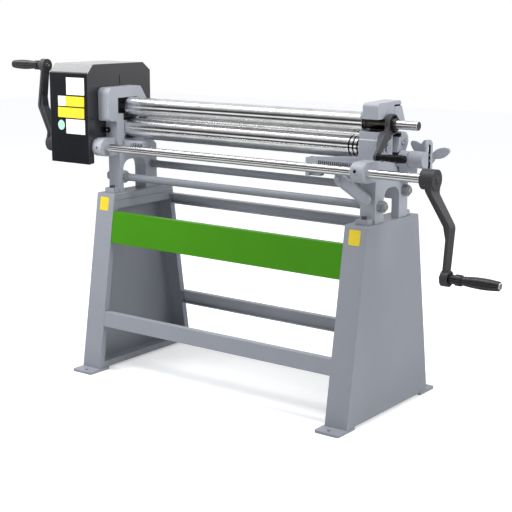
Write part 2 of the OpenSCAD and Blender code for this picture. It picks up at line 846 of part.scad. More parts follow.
module rear_roll() {
    color(steel) translate([0, rear_y, rear_z]) turned(concat([
        [-housing_x + 8, journal_r], [roll_left, journal_r],
        [roll_left, roll_r - 1], [roll_left + 1, roll_r]], wire_grooves(roll_r), [
        [roll_right - 1, roll_r], [roll_right, roll_r - 1], [roll_right, journal_r],
        [housing_x, journal_r], [housing_x, journal_r - 4], [housing_x - 2, journal_r - 5],
        [housing_x - 2, journal_r - 7], [housing_x, journal_r - 8], [housing_x, 4],
        [housing_x - 5, 0.5]]));
}

module swing_arm(x1, x2) {
    color(cast_grey) difference() {
        plate_x(x1, x2) link_outline(pivot, arm_pivot_r, rear_axis, arm_boss_r);
        bar_x(x1 - 1, x2 + 1, pivot_r + press_fit, pivot_y, pivot_z);
        bar_x(x1 - 1, x2 + 1, journal_r + run_fit, rear_y, rear_z);
    }
}

module right_rear_arm() { swing_arm(web_x + rim_gap, housing_x); }
module left_rear_arm() { swing_arm(-housing_x + rim_gap, -web_x - rim_gap); }

module rear_pivot_shaft() {
    color(steel) bar_x(-housing_x + 2, box_hub_x + 12, pivot_r, pivot_y, pivot_z);
}

// Slotted end plate of the gearbox: a straight bar with a round head
module slot_plate_outline(r, low, high) {
    translate([slot_plate_y, high]) circle(r = r);
    translate([slot_plate_y - r, low]) square([2 * r, high - low]);
}

module feed_gearbox() {
    plate_low = pivot_z - 46;
    plate_high = pivot_z + 46;
    web_low = [box_hub_x + 3, pivot_z + 21];
    web_high = [box_end - 17, pivot_z + 69];
    web_end = slot_plate_x + 3;
    color(cast_grey) difference() {
        union() {
            bar_x(box_x, box_hub_x - box_groove, box_neck_r, pivot_y, pivot_z);
            bar_x(box_hub_x - box_groove, box_hub_x, box_neck_r - 3, pivot_y, pivot_z);
            bar_x(box_hub_x, box_end, box_hub_r, pivot_y, pivot_z);
            plate_x(box_x, box_x + 34) polygon([[pivot_y - 24, pivot_z - 14],
                [box_foot_y, box_foot_z], [box_foot_y + box_foot_w, box_foot_z],
                [box_foot_y + box_foot_w, box_foot_z + box_foot_h], [pivot_y + 24, pivot_z + 14]]);
            translate([housing_x, box_foot_y, box_foot_z])
                cube([box_x - housing_x + 1, box_foot_w, box_foot_h]);
            plate_y_dir(web_y, web_y + 12) polygon([web_low, [web_end, pivot_z + 10],
                [web_end, web_high[1]], web_high]);
            bar_y(pivot_y + 20, knob_y, knob_hub_r - 5, knob_x, pivot_z);
            plate_x(slot_plate_x, slot_plate_x + 8)
                slot_plate_outline(slot_plate_r, plate_low, plate_high);
        }
        bar_x(box_x - 1, box_hub_x + 14, pivot_r + run_fit, pivot_y, pivot_z);
        bar_y(pivot_y + 24, knob_y + 1, knob_shaft_r + run_fit, knob_x, pivot_z);
        plate_x(slot_plate_x, box_end + 1)
            slot_plate_outline(slot_half, plate_low + 12, plate_high);
    }
}

// Pointed leaf with a rounded tip, lying along +X of its own plane
module leaf(len, width) {
    arc_r = (len * len / 4 + width * width / 4) / width;
    intersection() {
        translate([len / 2, arc_r - width / 2]) circle(r = arc_r);
        translate([len / 2, -arc_r + width / 2]) circle(r = arc_r);
        translate([len / 2 - 5, 0]) circle(r = len / 2);
    }
}

module feed_knob() {
    hub_y = knob_y + 0.3;
    hub_len = 17;
    color(cast_grey) {
        bar_y(pivot_y + 25, hub_y + 1, knob_shaft_r, knob_x, pivot_z);
        bar_y(hub_y, hub_y + hub_len, knob_hub_r, knob_x, pivot_z);
        plate_y_dir(hub_y + 2, hub_y + 12) translate([knob_x, pivot_z])
            for (a = [22.5, 142.5, 262.5]) rotate(a) translate([10, 0]) leaf(knob_r - 5, 36);
    }
}

// ---------- racks and small levers ----------

module rack_outline(x1, x2, first, count) {
    difference() {
        translate([x1, rack_tip]) square([x2 - x1, rack_top - rack_tip]);
        for (i = [0 : count - 1]) {
            translate([first + i * rack_pitch, rack_tip]) polygon([
                [-rack_pitch * 0.36, -1], [rack_pitch * 0.36, -1],
                [rack_pitch * 0.18, rack_root - rack_tip], [-rack_pitch * 0.18, rack_root - rack_tip]]);
        }
    }
}

module right_rack_plate() {
    color(cast_grey) {
        difference() {
            plate_y_dir(rack_front, rack_rear) {
                rack_outline(rack_left, rack_end, rack_left + rack_foot + 4, 17);
                translate([rack_left, rack_tip - rack_drop]) square([rack_foot, rack_drop + 6]);
            }
            translate([rack_left + 15, rack_front - 1, rack_tip - rack_drop - 1])
                cube([rack_foot - 14, 16, 24]);
        }
        plate_y_dir(rack_front, rack_front + 14)
            translate([paddle_x - 16, paddle_z - 16]) square([32, rack_tip - paddle_z + 18]);
        bar_y(paddle_y - 12, rack_front + 2, paddle_pin_r, paddle_x, paddle_z);
        bar_y(paddle_y - 12, paddle_y - 6.3, paddle_pin_r + 3, paddle_x, paddle_z);
    }
}

module left_rack_plate() {
    left_end = inner_x - left_rack_len;
    color(cast_grey) mirror([1, 0, 0]) plate_y_dir(rack_front, rack_rear)
        rack_outline(left_end, inner_x, left_end + 4, 8);
}

// Flat paddle with an angled end at the pivot and a round tip
module paddle_outline() {
    half = paddle_w / 2;
    tip = paddle_len - half;
    polygon([[-12, -half + 9], [2, -half], [tip, -half], [tip, half], [-6, half], [-18, half - 12]]);
    translate([tip, 0]) circle(r = half);
}

module paddle_lever() {
    half = paddle_w / 2;
    tip = paddle_len - half;
    color(cast_grey) difference() {
        union() {
            bar_y(paddle_y + 5, rack_front - 0.3, paddle_pin_r + 5, paddle_x, paddle_z);
            translate([paddle_x, 0, paddle_z]) rotate([0, paddle_drop, 0])
                plate_y_dir(paddle_y - 6, paddle_y + 6) paddle_outline();
        }
        bar_y(paddle_y - 30, rack_front + 20, paddle_pin_r + run_fit, paddle_x, paddle_z);
        translate([paddle_x, 0, paddle_z]) rotate([0, paddle_drop, 0])
            plate_y_dir(paddle_y - 7, paddle_y - 4.5) {
                translate([tip, 0]) circle(r = half - 4);
                translate([half, -half + 4]) square([tip - half, paddle_w - 8]);
            }
    }
}

// Lever whose eye around the extension is hollowed from outside
module release_lever() {
    eye_r = 36;
    hub = collar_r + 4;
    color(dark_iron) difference() {
        plate_x(lever_x, lever_x + lever_t) {
            translate(top_axis) circle(r = eye_r);
            link_outline(top_axis, 24, [lever_y, lever_z], 18);
        }
        bar_x(lever_x - 1, lever_x + lever_t + 1, shaft_end_r + run_fit, press_y, top_z);
        bar_x(lever_x - 1, lever_x + lever_t + 1, lever_pin_r + press_fit, lever_y, lever_z);
        bar_x(lever_x + lever_t - 5, lever_x + lever_t + 1, hub, press_y, top_z);
    }
}

module release_handle() {
    x0 = lever_x + lever_t;
    x1 = x0 + handle_len;
    color(dark_iron) translate([0, lever_y, lever_z]) turned([
        [lever_x + 2, lever_pin_r], [x0, lever_pin_r], [x0, 12], [x0 + 30, 12], [x0 + 31, 10.5],
        [x0 + 33, 10.5], [x0 + 34, 13], [x0 + 60, 14], [x1 - 8, 14], [x1 - 7, 12.8],
        [x1 - 5, 12.8], [x1 - 4, 13.6], [x1, 11.5]]);
}

// ---------- cranks ----------

// Side outline of an arm whose outer face is full and whose back lies t behind it
module arm_side(root_t, tip_t, mid_t) {
    rounded_outline([[arm_out_x - root_t, 0, 0], [arm_out_x, 0, 0], [arm_out_x, 42, 26],
        [arm_far_x, 144, 30], [arm_far_x, crank_r, 0], [arm_far_x - tip_t, crank_r, 0],
        [arm_far_x - tip_t, 190, 20], [arm_far_x - mid_t, 148, 14], [arm_out_x - root_t, 38, 30]]);
}

// Front outline of an arm, narrowed at each side
module arm_front(narrow) {
    root = crank_hub_r - 1 - narrow;
    knee = 22 - narrow;
    tip = 20 - narrow;
    polygon([[-root, 0], [root, 0], [root - 4, 42], [knee, 148], [tip, crank_r], [-tip, crank_r],
        [-knee, 148], [-root + 4, 42]]);
}

// T-shaped arm in its own frame: the shaft along X, the arm along +Z
module crank_arm() {
    intersection() {
        plate_y_dir(-40, 40) arm_side(arm_t, arm_tip_t, arm_t - 1);
        plate_x(crank_x, crank_x + 200) arm_front(5);
    }
    intersection() {
        plate_y_dir(-40, 40) arm_side(flange_t, flange_t, flange_t + 1);
        plate_x(crank_x, crank_x + 200) arm_front(0);
    }
}

module crank() {
    difference() {
        union() {
            bar_x(crank_x, crank_end, crank_hub_r);
            crank_arm();
            bar_x(boss_x, boss_end, boss_r, 0, crank_r);
        }
        bar_x(crank_x - 1, crank_end + 1, drive_r + press_fit);
        bar_x(crank_end - hub_recess, crank_end + 1, drive_r + 1.5);
        bar_x(boss_x - 1, boss_end + 1, grip_bolt_r + press_fit, 0, crank_r);
        bar_x(boss_end - grip_recess, boss_end + 1, boss_r - 6, 0, crank_r);
        translate([crank_x + 14, 0, -crank_hub_r - 1]) cylinder(h = 12, r = 4);
    }
}

module on_drive_axis(turn) {
    translate([0, drive_y, drive_z]) rotate([turn, 0, 0]) children();
}

module right_crank() { color(dark_iron) on_drive_axis(180 - crank_lean) crank(); }
module left_crank() { color(dark_iron) on_drive_axis(-crank_lean) mirror([1, 0, 0]) crank(); }

grip_neck_r = 15.5;
grip_collar_r = 19;
grip_steps = 14;
function grip_radius(t) = 14.5 + 5 * sin(t * 165);

module grip() {
    body_x = boss_end + 45;
    body_len = grip_end - bolt_head_t - body_x;
    translate([0, 0, crank_r]) difference() {
        turned(concat([[grip_x, grip_neck_r], [boss_end + 22, grip_neck_r],
            [boss_end + 23.5, grip_collar_r], [boss_end + 43, grip_collar_r]],
            [for (i = [0 : grip_steps]) [body_x + body_len * i / grip_steps, grip_radius(i / grip_steps)]]));
        bar_x(grip_x - 1, grip_end + 1, grip_bolt_r + run_fit);
    }
}

module grip_bolt() {
    head_x = grip_end - bolt_head_t + 0.3;
    translate([0, 0, crank_r]) turned([[boss_x - 10, 9], [boss_x, 9], [boss_x, grip_bolt_r],
        [head_x, grip_bolt_r], [head_x, 12], [grip_end - 2, 12], [grip_end, 10]]);
}

module right_grip() { color(dark_iron) on_drive_axis(180 - crank_lean) grip(); }
module left_grip() { color(dark_iron) on_drive_axis(-crank_lean) mirror([1, 0, 0]) grip(); }
module right_grip_bolt() { color(steel) on_drive_axis(180 - crank_lean) grip_bolt(); }
module left_grip_bolt() { color(steel) on_drive_axis(-crank_lean) mirror([1, 0, 0]) grip_bolt(); }

left_stand();
right_stand();
left_foot_plates();
right_foot_plates();
front_board();
front_lower_rail();
rear_upper_rail();
rear_lower_rail();
left_housing();
right_housing();
guard_wrap();
guard_inner_panel();
guard_outer_panel();
front_tie_rod();
rear_tie_rod();
tie_rod_nuts();
right_rack_plate();
left_rack_plate();
feed_gearbox();
housing_foot_bolts();
drive_shaft();
left_crank();
right_crank();
drive_pinion();
left_grip_bolt();
right_grip_bolt();
left_grip();
right_grip();
top_roll();
bull_gear();
top_roll_gear();
left_lower_block();
right_lower_block();
lower_roll();
lower_roll_gear();
rear_pivot_shaft();
left_rear_arm();
right_rear_arm();
rear_roll();
feed_knob();
paddle_lever();
release_lever();
release_handle();
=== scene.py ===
"""Looks of a hand-operated plate rolling machine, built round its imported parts."""
import json
import math

import bpy
import numpy as np
from mathutils import Matrix, Vector


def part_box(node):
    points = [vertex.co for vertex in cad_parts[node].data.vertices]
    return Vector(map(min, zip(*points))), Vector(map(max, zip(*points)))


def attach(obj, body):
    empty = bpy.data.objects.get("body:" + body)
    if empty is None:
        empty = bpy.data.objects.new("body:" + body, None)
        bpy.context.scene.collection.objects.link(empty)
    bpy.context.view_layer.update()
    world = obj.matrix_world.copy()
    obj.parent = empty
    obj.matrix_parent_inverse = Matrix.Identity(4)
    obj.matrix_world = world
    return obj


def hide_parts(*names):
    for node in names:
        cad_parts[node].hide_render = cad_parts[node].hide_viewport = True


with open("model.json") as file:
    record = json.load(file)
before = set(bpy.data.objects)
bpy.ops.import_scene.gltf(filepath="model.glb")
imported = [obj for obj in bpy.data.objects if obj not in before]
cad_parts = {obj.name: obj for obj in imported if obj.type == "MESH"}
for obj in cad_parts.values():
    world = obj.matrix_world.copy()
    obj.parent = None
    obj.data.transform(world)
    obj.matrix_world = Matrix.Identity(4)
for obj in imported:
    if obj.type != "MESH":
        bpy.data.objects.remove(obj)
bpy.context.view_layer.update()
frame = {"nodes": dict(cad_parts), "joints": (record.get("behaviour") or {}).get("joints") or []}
cad = frame["nodes"]

# ---- Camera --------------------------------------------------------------------------
# A long lens stands in front and to the right of the machine, a little above the rolls,
# and looks slightly down.

view_turn = math.radians(36.6)
view_rise = math.radians(11.9)
view_roll = math.radians(0.2)
view_place = (2.7024, -3.5981, 1.4509)
lens = bpy.data.cameras.new("lens")
lens.lens = 82.84
lens.sensor_width = 36.0
lens.clip_end = 50
camera = bpy.data.objects.new("camera", lens)
bpy.context.scene.collection.objects.link(camera)
back = Vector((math.sin(view_turn) * math.cos(view_rise),
               -math.cos(view_turn) * math.cos(view_rise), math.sin(view_rise)))
right = Vector((math.cos(view_turn), math.sin(view_turn), 0))
up = back.cross(right)
right, up = (right * math.cos(view_roll) + up * math.sin(view_roll),
             up * math.cos(view_roll) - right * math.sin(view_roll))
facing = Matrix((right, up, back)).transposed()
camera.matrix_world = Matrix.Translation(view_place) @ facing.to_4x4()
bpy.context.scene.camera = camera
bpy.context.scene.view_settings.view_transform = "Standard"

# ---- Studio --------------------------------------------------------------------------
# A white room round a pale floor. Bright steel sees a ceiling softbox, a dark gap under
# it, a strip of white wall at eye height and the floor, which draw bands along the rolls.


class Wire:
    """A socket in a node tree: arithmetic on it adds Math nodes, add() makes any other node."""

    def __init__(self, tree, socket=None):
        self.tree = tree
        self.socket = socket

    def add(self, kind, links, out=0, **settings):
        """A node of this kind with its settings, then its sockets' values or links."""
        node = self.tree.nodes.new(kind)
        stops = settings.pop("stops", None)
        for name, value in settings.items():
            setattr(node, name, value)
        if stops:
            ramp = node.color_ramp
            while len(ramp.elements) < len(stops):
                ramp.elements.new(0.5)
            for element, (place, shade) in zip(ramp.elements, stops):
                element.position = place
                element.color = (shade, shade, shade, 1)
        for name, value in links.items():
            socket = node.inputs[name]
            if isinstance(value, Wire):
                self.tree.links.new(value.socket, socket)
            else:
                socket.default_value = value
        return Wire(self.tree, node.outputs[out] if node.outputs else None)

    def math(self, operation, first, second=0.0):
        """A Math node of this operation."""
        return self.add("ShaderNodeMath", {0: first, 1: second}, operation=operation)

    def __add__(self, other):
        return self.math("ADD", self, other)

    def __radd__(self, other):
        return self.math("ADD", other, self)

    def __sub__(self, other):
        return self.math("SUBTRACT", self, other)

    def __rsub__(self, other):
        return self.math("SUBTRACT", other, self)

    def __mul__(self, other):
        return self.math("MULTIPLY", self, other)

    def __rmul__(self, other):
        return self.math("MULTIPLY", other, self)

    def clamp(self, low, high):
        """This value brought from low..high to 0..1 and kept there."""
        return self.add("ShaderNodeMapRange", {"Value": self, "From Min": low, "From Max": high})

    def along(self, axis):
        """This vector's part along one axis."""
        return self.add("ShaderNodeSeparateXYZ", {"Vector": self}, out=axis)

    def mix(self, factor, one, two):
        """Colour one where the factor is 0 and colour two where it is 1."""
        one, two = ((*shade, 1) if isinstance(shade, tuple) else shade for shade in (one, two))
        return self.add("ShaderNodeMix", {"Factor": factor, 6: one, 7: two},
                        out=2, data_type="RGBA")


def ring_of_light(tree, climb, stops):
    """How bright the room is all round, from stops of [degrees, brightness].

    A full turn from -180 to 180 degrees is brought to 0..1, as climb is.
    """
    return tree.add("ShaderNodeValToRGB", {"Fac": climb},
                    stops=[(degrees / 360 + 0.5, shade) for degrees, shade in stops])


# The angle climbs from the level in front, over 90 straight up, to 180 behind; it falls
# to -90 straight down. The second ring is what faces that look to the right see.
front_ring = [(-180, 0.06), (-150, 0.07), (-130, 0.12), (-108, 0.24), (-90, 0.36), (-68, 0.74),
              (-46, 0.86), (-36, 0.30), (-29, 0.05), (-13, 0.04), (-7, 0.95), (4, 1.0), (9, 0.06),
              (26, 0.04), (45, 0.42), (60, 0.9), (104, 0.9), (122, 0.74), (150, 0.85),
              (177, 0.97), (179, 0.06)]
right_ring = [(-180, 1.0), (-176, 0.95), (-172, 0.25), (-150, 0.20), (-90, 0.40), (-46, 0.80),
              (0, 0.70), (40, 0.30), (60, 0.9), (150, 0.9)]
dull_light = (0.44, 0.45, 0.485)
world = bpy.data.worlds.new("studio")
world.use_nodes = True
world.node_tree.nodes.clear()
room = Wire(world.node_tree)
aim = room.add("ShaderNodeTexCoord", {}, out="Generated")
climb = room.math("ARCTAN2", aim.along("Z"), 0 - aim.along("Y")) * (1 / math.tau) + 0.5
mirror_light = room.mix(aim.along("X").clamp(-0.05, 0.1), ring_of_light(room, climb, front_ring),
                        ring_of_light(room, climb, right_ring))
glossy_ray = room.add("ShaderNodeLightPath", {}, out="Is Glossy Ray")
camera_ray = room.add("ShaderNodeLightPath", {}, out="Is Camera Ray")
seen = room.mix(camera_ray, room.mix(glossy_ray, dull_light, mirror_light), (1, 1, 1))
glow = room.add("ShaderNodeBackground", {"Color": seen, "Strength": 1.0})
room.add("ShaderNodeOutputWorld", {"Surface": glow})
bpy.context.scene.world = world


def lamp(name, place, target, size, watts, seen_in_gloss=False):
    """A rectangular soft lamp of this size in metres, aimed at a target point."""
    data = bpy.data.lights.new(name, "AREA")
    data.shape = "RECTANGLE"
    data.size, data.size_y = size
    data.energy = watts
    lit = bpy.data.objects.new(name, data)
    bpy.context.scene.collection.objects.link(lit)
    turn = (Vector(place) - Vector(target)).to_track_quat("Z", "Y")
    lit.matrix_world = Matrix.LocRotScale(Vector(place), turn, None)
    lit.visible_camera = False
    lit.visible_glossy = seen_in_gloss


lamp("ceiling_softbox", (-1.5, -0.5, 3.6), (-1.5, -0.49, 0.9), (5.8, 0.5), 64, seen_in_gloss=True)
lamp("right_softbox", (3.8, -0.3, 1.7), (0, 0, 0.8), (1.8, 1.8), 60)
lamp("left_softbox", (-1.2, -1.05, 1.75), (-0.65, -0.1, 1.05), (0.8, 0.8), 23)
lamp("middle_softbox", (0.9, -0.3, 2.5), (-0.7, 0, 0.95), (0.8, 0.8), 14)
lamp("rear_softbox", (0.4, 2.6, 1.8), (0, 0, 0.6), (2.4, 1.2), 14)

floor_reach, floor_z = 12, -0.0005
floor_mesh = bpy.data.meshes.new("floor")
floor_mesh.from_pydata([(x * floor_reach, y * floor_reach, floor_z)
                        for x, y in ((-1, -1), (1, -1), (1, 1), (-1, 1))], [], [(0, 1, 2, 3)])
floor = bpy.data.objects.new("floor", floor_mesh)
bpy.context.scene.collection.objects.link(floor)
floor_look = bpy.data.materials.new("pale_floor")
floor_look.use_nodes = True
floor_look.node_tree.nodes.clear()
ground = Wire(floor_look.node_tree)
matt = ground.add("ShaderNodeBsdfDiffuse", {"Color": (0.80, 0.80, 0.80, 1)})
spot = ground.add("ShaderNodeTexCoord", {}, out="Object")
away = ground.add("ShaderNodeVectorMath", {0: spot}, out="Value", operation="LENGTH")
# The floor fades to white between these distances from its middle.
white = ground.add("ShaderNodeEmission", {"Color": (1, 1, 1, 1),
                                          "Strength": 0.41 + away.clamp(0.9, 1.9) * 0.2})
lit_floor = ground.add("ShaderNodeAddShader", {0: matt, 1: white})
floor_seen = ground.add("ShaderNodeLightPath", {}, out="Is Camera Ray")
floor_light = ground.add("ShaderNodeMixShader", {0: floor_seen, 1: matt, 2: lit_floor})
ground.add("ShaderNodeOutputMaterial", {"Surface": floor_light})
floor_mesh.materials.append(floor_look)
floor.visible_glossy = False

# ---- Stand ---------------------------------------------------------------------------
# Two ends bent from 4 mm sheet and welded on thick foot plates, joined by bent channels.
# All of it has the same smooth blue-grey powder coat, paler on the bends as wear and as a painted
# highlight.


class Finish(Wire):
    """A material in the making, with its object coordinates at hand."""

    def __init__(self, name):
        self.look = bpy.data.materials.new(name)
        self.look.use_nodes = True
        self.look.node_tree.nodes.clear()
        super().__init__(self.look.node_tree)
        self.place = self.add("ShaderNodeTexCoord", {}, out="Object")

    def noise(self, scale, detail=3.0, roughness=0.5, stretch=(1, 1, 1)):
        """Noise with this many cells to the metre, stretched along the axes."""
        place = self.add("ShaderNodeMapping", {"Vector": self.place, "Scale": stretch})
        return self.add("ShaderNodeTexNoise", {"Vector": place, "Scale": scale, "Detail": detail,
                                               "Roughness": roughness}, out="Fac")

    def inside(self, low, high):
        """1 within the box between these corners, 0 outside it.

        The distance from the box's middle along each axis, less half the box's size there,
        is below 0 on all three axes only within the box.
        """
        middle = tuple((a + b) / 2 for a, b in zip(low, high))
        half = tuple((b - a) / 2 for a, b in zip(low, high))
        off = self.place
        for operation, other in (("SUBTRACT", middle), ("ABSOLUTE", (0, 0, 0)), ("SUBTRACT", half)):
            off = self.add("ShaderNodeVectorMath", {0: off, 1: other}, operation=operation)
        flat = self.math("MAXIMUM", off.along("X"), off.along("Y"))
        return self.math("LESS_THAN", self.math("MAXIMUM", flat, off.along("Z")), 0)

    def rounded(self, radius):
        """The surface's normal with its edges rounded to this radius."""
        return self.add("ShaderNodeBevel", {"Radius": radius}, samples=4)

    def edge(self, radius):
        """1 on an edge, 0 on open surface: where the rounded normal leaves the true one."""
        true = self.add("ShaderNodeNewGeometry", {}, out="True Normal")
        meet = self.add("ShaderNodeVectorMath", {0: self.rounded(radius), 1: true}, out="Value",
                        operation="DOT_PRODUCT")
        return (1 - meet).clamp(0.02, 0.25)

    def bump(self, height, strength, distance, normal=None):
        """The normal over a relief of this height, on top of another normal if one is given."""
        links = {"Height": height, "Strength": strength, "Distance": distance}
        if normal:
            links["Normal"] = normal
        return self.add("ShaderNodeBump", links, out="Normal")

    def done(self, **sockets):
        """The material itself, with its surface built from these sockets."""
        surface = self.add("ShaderNodeBsdfPrincipled",
                           {name.replace("_", " "): value for name, value in sockets.items()})
        self.add("ShaderNodeOutputMaterial", {"Surface": surface})
        return self.look


def dress(look, *names):
    """Gives this finish to these nodes."""
    for name in names:
        mesh = cad[name].data
        mesh.materials.clear()
        mesh.materials.append(look)


# Near black, painted as shade in recesses and gaps, and for a few dark seams.
shade_and_seam_black = (0.006, 0.006, 0.007)


def painted(name, shade, edge_wear_and_highlight, mottle, peel, roughness, edge_radius, skin=0.16, gloss=0.5,
            shade_and_seam_boxes=()):
    """Sprayed paint: faint mottling, a fine orange peel and a thin lighter line on the edges, which
    is wear and a painted highlight.

    Mottle is how far the shade strays, peel how many bumps to the metre, skin their relief.
    The boxes of corners in the last argument are painted black: shade in recesses and gaps, and a
    few dark seams.
    """
    paint = Finish(name)
    cloud = paint.noise(3.2, 4.0)
    speck = paint.noise(420, 2.0)
    base = paint.mix((cloud * 0.75 + speck * 0.25).clamp(0.3, 0.7),
                     tuple(c * (1 - mottle) for c in shade), tuple(c * (1 + mottle) for c in shade))
    # Wear and painted highlight: the edges are mixed towards a lighter shade.
    base = paint.mix(paint.edge(edge_radius) * 0.55, base, edge_wear_and_highlight)
    # Painted shade: black within each listed box, for recesses and gaps in shade, and for dark
    # seams.
    for low, high in shade_and_seam_boxes:
        base = paint.mix(paint.inside(low, high), base, shade_and_seam_black)
    return paint.done(Base_Color=base, Roughness=roughness + (cloud - 0.5) * 0.12,
                      Specular_IOR_Level=gloss,
                      Normal=paint.bump(paint.noise(peel, 2.0, 0.6), skin, 0.0006,
                                        paint.rounded(edge_radius)))


stand_paint = {"mottle": 0.05, "peel": 260, "roughness": 0.42, "edge_radius": 0.0022}
dress(painted("stand_coat", (0.276, 0.290, 0.325), (0.42, 0.435, 0.475), **stand_paint),
      "left_stand", "right_stand", "left_foot_plates", "right_foot_plates", "front_lower_rail")
# Painted light: the rear rails have a paler copy of the same coat, standing in for light they lack.
dress(painted("rear_rail_lit_coat", (0.40, 0.415, 0.455), (0.50, 0.515, 0.555), **stand_paint),
      "rear_upper_rail", "rear_lower_rail")

# ---- Front board ---------------------------------------------------------------------
# The bent board between the stand's ends, which is sprayed bright green and left bare.
# It is duller than the stand and has the same fine skin.

dress(painted("board_coat", (0.050, 0.240, 0.002), (0.10, 0.36, 0.02), mottle=0.05, peel=240,
              roughness=0.42, edge_radius=0.0016, gloss=0.25), "front_board")

# ---- Left housing --------------------------------------------------------------------
# A grey iron casting on the stand's top, filled, sanded and sprayed a paler grey. The pocket round
# the upper roll's journal and the nip under it are painted black as shade.

cast_paint = {"shade": (0.362, 0.378, 0.418), "edge_wear_and_highlight": (0.50, 0.515, 0.555), "mottle": 0.06,
              "peel": 150, "roughness": 0.45, "edge_radius": 0.0035, "skin": 0.22}
# Boxes painted black as shade: the pocket and the nip.
left_pocket = ((-0.603, -0.121, 1.032), (-0.5695, -0.011, 1.095))
left_nip = ((-0.572, -0.092, 1.004), (-0.560, -0.020, 1.031))
dress(painted("left_cast_coat", **cast_paint, shade_and_seam_boxes=[left_pocket, left_nip]), "left_housing")

# ---- Guard ---------------------------------------------------------------------------
# A box bent from 2 mm sheet over the gears, with a panel on each side, in a fine black
# powder coat. It is screwed on the left housing, and its top has more gloss than its front.

guard_low, guard_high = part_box("guard_wrap")
gloss_from, gloss_full = guard_high.z - 0.034, guard_high.z - 0.030


def black_powder(coat, roughness, skin):
    """Sockets of a fine black powder coat: hazy clouds over a grain of this relief."""
    haze = coat.noise(5, 3.0)
    grain = coat.noise(900, 2.0, 0.6)
    return {"Base_Color": coat.mix(haze.clamp(0.35, 0.65), (0.0075, 0.008, 0.0105),
                                   (0.0105, 0.011, 0.0135)),
            "Roughness": roughness + (haze - 0.5) * 0.08,
            "Normal": coat.bump(grain, skin, 0.0004, coat.rounded(0.0015))}


powder = Finish("black_powder_coat")
powder_look = powder.done(**black_powder(powder, 0.24, 0.12), Specular_IOR_Level=0.12,
                          Coat_Weight=powder.place.along("Z").clamp(gloss_from, gloss_full),
                          Coat_Roughness=0.12)
dress(powder_look, "guard_wrap")
panel = Finish("black_panel_coat")
dress(panel.done(**black_powder(panel, 0.22, 0.10), Coat_Weight=1.0, Coat_Roughness=0.10),
      "guard_inner_panel", "guard_outer_panel")

# ---- Guard stickers ------------------------------------------------------------------
# Thin films of printed vinyl stuck on the guard's front, where such machines carry their
# signs. They are blank here, in white, yellow and mint.


def new_piece(name, points, faces, look, body):
    """A mesh object at the origin from points and faces, smooth across angles below 35 degrees."""
    mesh = bpy.data.meshes.new(name)
    mesh.from_pydata(points.tolist(), [], faces)
    mesh.validate()
    mesh.shade_smooth()
    mesh.set_sharp_from_angle(angle=math.radians(35))
    mesh.materials.append(look)
    piece = bpy.data.objects.new(name, mesh)
    bpy.context.scene.collection.objects.link(piece)
    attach(piece, body)
    return piece


def vinyl(name, shade):
    """Printed film: an even colour that yellows slightly in soft clouds, with a faint grain."""
    stock = Finish(name)
    age = stock.noise(22, 3.0)
    aged = tuple(c * fade for c, fade in zip(shade, (0.93, 0.92, 0.86)))
    return stock.done(Base_Color=stock.mix(age.clamp(0.35, 0.75), shade, aged),
                      Roughness=0.42 + (age - 0.5) * 0.1,
                      Normal=stock.bump(stock.noise(700), 0.05, 0.0002))


def film(name, x_span, z_span, cut, bed_y, thick, look, fall=0.0, rim=64):
    """A thin film on a front face, with a superellipse for its rim.

    Each rim point is the middle plus half the size times the signed power 2/cut of cosine
    and sine, so a cut of 2 is an ellipse and a large one has square corners. The bed lies at
    bed_y, which grows by fall times the height over the middle. The rim on the bed, the same
    rim lifted by the film's thickness, and two middles close it.
    """
    turn = np.linspace(0, math.tau, rim, endpoint=False)
    wave = np.stack([np.cos(turn), np.sin(turn)], 1)
    wave = np.sign(wave) * np.abs(wave) ** (2 / cut)
    span = np.array([x_span, z_span])
    middle = span.mean(1)
    flat = np.concatenate([middle + wave * (span[:, 1] - middle), [middle]])
    bed = np.insert(flat, 1, bed_y + (flat[:, 1] - middle[1]) * fall, axis=1)
    face = bed - (0, thick, 0)
    near = np.arange(rim)
    far = (near + 1) % rim
    lifted = rim + 1
    wall = np.stack([near, far, far + lifted, near + lifted], 1)
    crown = np.stack([near + lifted, far + lifted, np.full(rim, rim + lifted)], 1)
    base = np.stack([far, near, np.full(rim, rim)], 1)
    new_piece(name, np.concatenate([bed, face]), wall.tolist() + crown.tolist() + base.tolist(),
              look, "frame")


white_film = vinyl("white_film", (0.78, 0.78, 0.77))
yellow_film = vinyl("yellow_film", (0.80, 0.62, 0.03))
mint_film = vinyl("mint_film", (0.42, 0.72, 0.60))
square_cut, round_cut = 40, 2
for name, x_span, z_span, cut, stock_look in (
        ("sticker_top", (-0.750, -0.650), (1.107, 1.176), square_cut, white_film),
        ("sticker_second", (-0.798, -0.756), (1.061, 1.101), square_cut, white_film),
        ("sticker_second_right", (-0.756, -0.652), (1.061, 1.101), square_cut, yellow_film),
        ("sticker_third", (-0.800, -0.653), (1.015, 1.056), square_cut, yellow_film),
        ("sticker_round", (-0.802, -0.764), (0.964, 1.004), round_cut, mint_film),
        ("sticker_low", (-0.756, -0.650), (0.951, 1.010), square_cut, white_film)):
    film(name, x_span, z_span, cut, guard_low.y, 0.0004, stock_look)

# ---- Leg patches ---------------------------------------------------------------------
# A blank patch of the same yellow film is stuck on the front of each of the stand's legs,
# which leans back as it rises.

patch_w, patch_h, patch_z, patch_cut = 0.046, 0.054, 0.6735, 40 / 3
leg_y, leg_fall = -0.18445, 0.154
for side_name, patch_x in (("left", -0.5975), ("right", 0.5910)):
    film(side_name + "_leg_patch", (patch_x - patch_w / 2, patch_x + patch_w / 2),
         (patch_z - patch_h / 2, patch_z + patch_h / 2), patch_cut, leg_y, 0.0006,
         yellow_film, fall=leg_fall)
